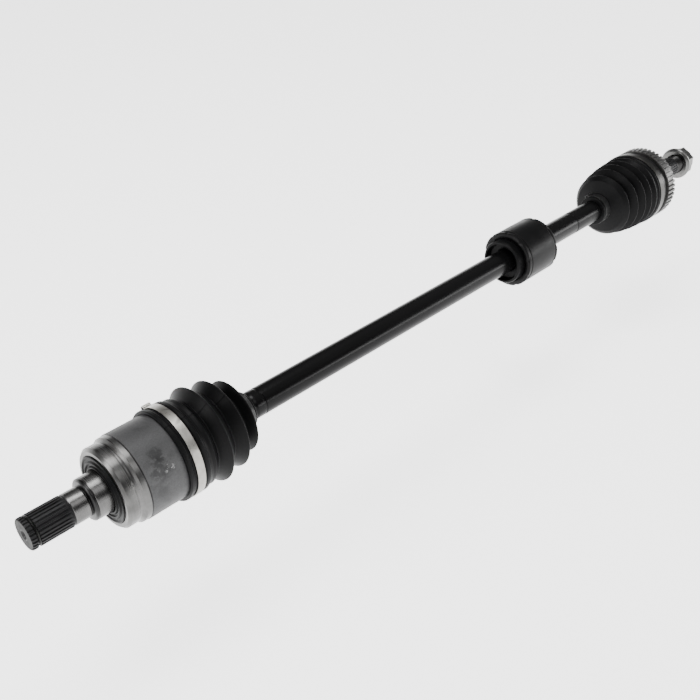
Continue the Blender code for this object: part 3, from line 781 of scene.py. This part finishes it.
def wheel_stub_shape(x, r, angle):
    """A shape for lathe(): the wheel stub's spline, and the thread beyond it."""
    toothed = spline_teeth(871.0, 904.0, WHEEL_STUB_R - 1.0, WHEEL_STUB_R, 4.0, start_run=3.0)
    r = toothed(x, r, angle)
    depth = 0.85
    phase = (x / THREAD_PITCH - angle / TURN) % 1.0
    groove = np.clip(1.0 - np.abs(phase - 0.5) * 2.4, 0, 1)
    threaded = np.clip((x - THREAD_X0) / 1.5, 0, 1) * np.clip((THREAD_X1 - x) / 1.0, 0, 1)
    return r - depth * groove * threaded * (r > THREAD_R - 0.1)


def make_outer_race():
    band, hollow, dark = range(3)
    hollow_r = 32.2
    profile = [(BALL_X + hollow_r, 0.0, 0.0, hollow)]
    for i in range(1, 16):
        turn = math.radians(6.0 * i)
        profile.append((BALL_X + hollow_r * math.cos(turn), hollow_r * math.sin(turn), 0.0, hollow))
    profile += [
        (BALL_X - 8.0, 31.6, 0.0, hollow), (806.0, 33.6, 0.3, band),
        (806.0, 39.9, 0.5), (806.8, 40.5, 0.4), (824.8, 40.5, 0.4), (TONE_X0 - 0.4, 40.1, 0.4),
        (TONE_X0 - 0.4, 38.7), (TONE_X1 + 0.6, 38.7, 0.2, dark), (843.4, 37.6, 0.5), (850.0, 36.2, 3.0),
        (858.0, 31.4, 3.0), (863.5, 24.5, 2.0), (866.0, 22.6, 0.5, band), (866.0, 13.4, 0.6),
        (868.5, WHEEL_STUB_R, 1.0, dark),
    ]
    # The steps stand closer together where the tooth gaps begin and run out.
    tooth_steps = (871.0, 872.0, 873.0, 874.4, 899.6, 900.8, 902.0, 903.0)
    profile += [(x, WHEEL_STUB_R) for x in tooth_steps]
    profile += [(904.0, WHEEL_STUB_R, 0.3), (905.0, 11.2, 0.4, band), (907.0, THREAD_R, 0.2)]
    profile += [(float(x), THREAD_R) for x in np.linspace(THREAD_X0, THREAD_X1, 145)]
    profile += [
        (AXLE_END - 1.0, THREAD_R), (AXLE_END, 10.0), (AXLE_END, 2.4, 0.2), (AXLE_END - 1.6, 1.4),
        (AXLE_END - 2.0, 0.0),
    ]
    race = lathe(
        "outer_race_shell", rounded(profile, arc_points=4), [RACE_BAND, BEARING, SPLINE_DARK],
        tooth_angles(STUB_TEETH, TOOTH_SHARES), wheel_stub_shape,
    )
    cut(race, [track_torus(f"track_{i}", math.radians(30.0 + 60.0 * i)) for i in range(3)])
    settle(race, "outer_race", "outer_race")


def make_tone_ring():
    gap_depth = 2.1

    def castellated(x, r, angle):
        share = (angle * TONE_TEETH / TURN) % 1.0
        gap = np.clip((share - 0.5) / 0.06, 0, 1) * np.clip((1.0 - share) / 0.06, 0, 1)
        window = (x > TONE_X0 + 0.1) & (r > TONE_BORE_R + 1.0)
        return np.where(window, r - gap_depth * gap, r)

    ring = loop_lathe(
        "abs_tone_ring",
        [(TONE_X0, TONE_BORE_R + 0.1), (TONE_X0, TONE_R, 0.4), (TONE_X0 + 1.2, TONE_R, 0.1),
         (TONE_X1 - 0.8, TONE_R, 0.4), (TONE_X1, TONE_R - 0.6, 0.4), (TONE_X1, TONE_BORE_R + 0.2)],
        [(TONE_X0, TONE_BORE_R), (TONE_X1, TONE_BORE_R)],
        [TONE], angles=tooth_angles(TONE_TEETH, (0.0, 0.25, 0.5, 0.56, 0.75, 0.94)), shape=castellated,
    )
    settle(ring, "outer_race", "tone_ring")


def make_nut():
    across_flats = 31.0
    corner = across_flats / 2 / math.cos(math.pi / 6)

    def hexagon(x, r, angle):
        side = (angle + math.pi / 6) % (math.pi / 3) - math.pi / 6
        flat = across_flats / 2 / np.cos(side)
        return np.where((x > 923.0) & (r > 13.0), np.minimum(r, flat), r)

    nut = loop_lathe(
        "flanged_nut",
        [(918.0, 12.2), (918.0, 16.2, 0.3), (919.4, 18.6, 0.5), (920.4, 19.5, 0.5), (922.0, 19.4, 0.5),
         (923.4, 17.6, 0.8), (923.6, corner, 0.2), (935.4, corner, 0.2),
         (937.2, 15.2, 0.4), (938.0, 14.4, 0.3), (938.0, 12.2)],
        [(918.0, 12.2), (919.2, 11.3, 0.1), (936.8, 11.3, 0.1), (938.0, 12.2)],
        [PLATED], angles=even_angles(192), shape=hexagon,
    )
    settle(nut, "outer_race", "hub_nut")


def dress_inner_nodes():
    """The pieces inside the joints keep their CAD shape and take a real finish."""
    for name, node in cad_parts.items():
        if node.hide_render:
            continue
        finish = SPRING if "clip" in name or "snap_ring" in name else BEARING
        node.data.materials.clear()
        node.data.materials.append(finish)
        node.data.shade_smooth()
        node.data.set_sharp_from_angle(angle=math.radians(40.0))


# ---------------------------------------------------------------- studio

def make_floor():
    look = Look("floor_paper", roughness=0.85)
    tone = look.noise(3.0, 3.0)
    look.colour(look.ramp(tone, [(0.2, (0.90, 0.90, 0.90)), (0.8, (0.93, 0.93, 0.93))]))
    look.shader.inputs["Emission Color"].default_value = (1.0, 1.0, 1.0, 1.0)
    look.shader.inputs["Emission Strength"].default_value = FLOOR_GLOW
    mesh = bpy.data.meshes.new("floor")
    work = bmesh.new()
    bmesh.ops.create_grid(work, x_segments=2, y_segments=2, size=9.0)
    work.to_mesh(mesh)
    work.free()
    mesh.materials.append(look.material)
    floor = add_object("floor", mesh)
    floor.location = (0.0, 0.0, FLOOR_M)


def softbox(name, at, aim, size, power):
    """A rectangular light at one point, turned to face another."""
    data = bpy.data.lights.new(name, "AREA")
    data.shape = "RECTANGLE"
    data.size, data.size_y = size
    data.energy = power
    light = add_object(name, data)
    light.location = at
    light.rotation_mode = "QUATERNION"
    light.rotation_quaternion = (Vector(aim) - Vector(at)).to_track_quat("-Z", "Y")


def make_world():
    """Pale to just above the horizon, like the paper; dark higher up; soft light overhead."""
    world = bpy.data.worlds.new("studio")
    world.use_nodes = True
    tree = world.node_tree
    background = tree.nodes["Background"]
    split = tree.nodes.new("ShaderNodeSeparateXYZ")
    tree.links.new(tree.nodes.new("ShaderNodeTexCoord").outputs["Generated"], split.inputs["Vector"])
    height = tree.nodes.new("ShaderNodeValToRGB")
    set_stops(height, SKY)
    tree.links.new(split.outputs["Z"], height.inputs["Fac"])
    tree.links.new(height.outputs["Color"], background.inputs["Color"])
    background.inputs["Strength"].default_value = WORLD_STRENGTH
    bpy.context.scene.world = world


def make_lights():
    softbox("overhead", (-0.12, 0.26, 1.5), (-0.35, 0.0, 0.0), (0.85, 0.50), 15.0)
    softbox("high_front", (-0.15, -0.75, 1.25), (-0.2, 0.0, 0.0), (0.6, 0.6), 2.6)
    softbox("left", (-1.45, 0.30, 0.62), (-0.35, 0.0, 0.0), (0.35, 0.8), 10.0)
    softbox("front_strip", (1.75, -1.2, 0.36), (0.5, 0.0, 0.0), (2.7, 0.36), 34.0)


def make_camera():
    data = bpy.data.cameras.new("camera")
    data.sensor_width = 36.0
    data.lens = CAMERA_LENS
    camera = add_object("camera", data)
    camera.location = CAMERA_AT
    camera.rotation_mode = "QUATERNION"
    camera.rotation_quaternion = Vector(CAMERA_AIM).to_track_quat("-Z", "Y")
    bpy.context.scene.camera = camera


make_camera()
make_world()
make_lights()
make_floor()
make_bar()
make_damper()
make_clamps()
make_inboard_boot()
make_outboard_boot()
make_inboard_housing()
make_circlip()
make_dust_seal()
make_outer_race()
make_tone_ring()
make_nut()
dress_inner_nodes()
